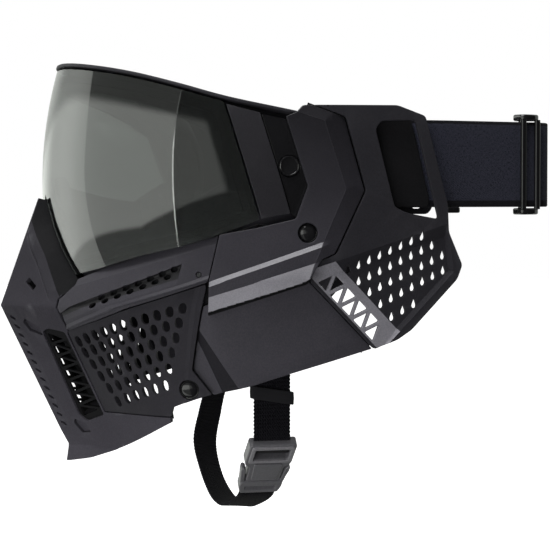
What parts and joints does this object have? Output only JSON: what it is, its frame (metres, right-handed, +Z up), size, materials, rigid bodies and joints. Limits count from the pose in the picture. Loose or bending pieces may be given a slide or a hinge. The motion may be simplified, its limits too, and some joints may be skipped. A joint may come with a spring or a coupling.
{
  "type": "paintball mask",
  "caption": "Full-face goggle mask with a tinted double lens, perforated muzzle guard, flat ear guards, elastic head strap and buckled chin strap.",
  "frame": {"origin": "midway between the wearer's ears, on the mask's mid-plane at eye level, where a head holds it", "axes": "+Z up, -Y the way the mask looks, +X the wearer's left"},
  "size_m": [0.1798, 0.29, 0.2384],
  "materials": {
    "frame_black": "fine moulded grain, satin",
    "guard_black": "flexible moulded plastic, matte",
    "ear_black": "soft moulded plastic, matte",
    "gloss_black": "polished",
    "lens_tint": "smoke-tinted polycarbonate, polished",
    "lens_clear": "clear inner pane, polished",
    "gasket": "closed-cell foam seal",
    "foam": "fleece-faced open-cell foam",
    "strap_fabric": "heather elastic weave",
    "webbing": "woven webbing",
    "buckle_grey": "moulded acetal",
    "steel": "blackened"
  },
  "bodies": {
    "mask": {"outer_lens": "lens_tint", "inner_lens": "lens_clear", "lens_gasket": "gasket", "goggle_frame": "frame_black", "lens_end_trim_L": "guard_black", "lens_end_trim_R": "guard_black", "lens_latch_L": "gloss_black", "lens_latch_R": "gloss_black", "temple_cover_L": "frame_black", "temple_cover_R": "frame_black", "lower_bezel_L": "frame_black", "lower_bezel_R": "frame_black", "face_guard": "guard_black", "vent_panel_L": "guard_black", "vent_panel_R": "guard_black", "jaw_panel_L": "guard_black", "jaw_panel_R": "guard_black", "ear_guard_L": "ear_black", "ear_guard_R": "ear_black", "strap_outrigger_L": "ear_black", "strap_outrigger_R": "ear_black", "frame_stud_L": "gloss_black", "frame_stud_R": "gloss_black", "panel_stud_L": "gloss_black", "panel_stud_R": "gloss_black", "bezel_screw_L": "steel", "bezel_screw_R": "steel", "foam_carrier": "frame_black", "face_foam": "foam", "head_strap": "strap_fabric", "strap_tail_L": "strap_fabric", "strap_tail_R": "strap_fabric", "chin_anchor_L": "ear_black", "chin_anchor_R": "ear_black", "chin_rivet_L": "steel", "chin_rivet_R": "steel"},
    "lens_button_L": {"lens_button_L": "gloss_black"},
    "lens_button_R": {"lens_button_R": "gloss_black"},
    "tri_glide_L": {"tri_glide_L": "gloss_black"},
    "tri_glide_R": {"tri_glide_R": "gloss_black"},
    "chin_strap": {"chin_web_left": "webbing", "chin_web_end_R": "webbing", "buckle_female": "buckle_grey"},
    "web_keeper": {"web_keeper": "webbing"},
    "chin_strap_far": {"buckle_male": "buckle_grey", "chin_web_right": "webbing"}
  },
  "joints": [
    {"name": "lens_button_L_push", "type": "slide", "parent": "mask", "child": "lens_button_L", "axis": [-1, 0, 0], "range_m": [0, 0.0018], "stiffness_N_per_m": 400, "springref_m": -0.001},
    {"name": "lens_button_R_push", "type": "slide", "parent": "mask", "child": "lens_button_R", "axis": [1, 0, 0], "range_m": [0, 0.0018], "stiffness_N_per_m": 400, "springref_m": -0.001},
    {"name": "tri_glide_L_slide", "type": "slide", "parent": "mask", "child": "tri_glide_L", "axis": [0.3124, -0.9499, 0], "range_m": [-0.003, 0.03]},
    {"name": "tri_glide_R_slide", "type": "slide", "parent": "mask", "child": "tri_glide_R", "axis": [-0.3124, -0.9499, 0], "range_m": [-0.003, 0.03]},
    {"name": "chin_swing", "type": "hinge", "parent": "mask", "child": "chin_strap", "pos_m": [0, -0.0635, -0.102], "axis": [1, 0, 0], "range_deg": [-25, 25]},
    {"name": "web_keeper_slide", "type": "slide", "parent": "chin_strap", "child": "web_keeper", "axis": [0, 0, 1], "range_m": [-0.016, 0.003]},
    {"name": "buckle_release", "type": "slide", "parent": "chin_strap", "child": "chin_strap_far", "axis": [-0.76, 0, -0.65], "range_m": [0, 0.022]}
  ]
}
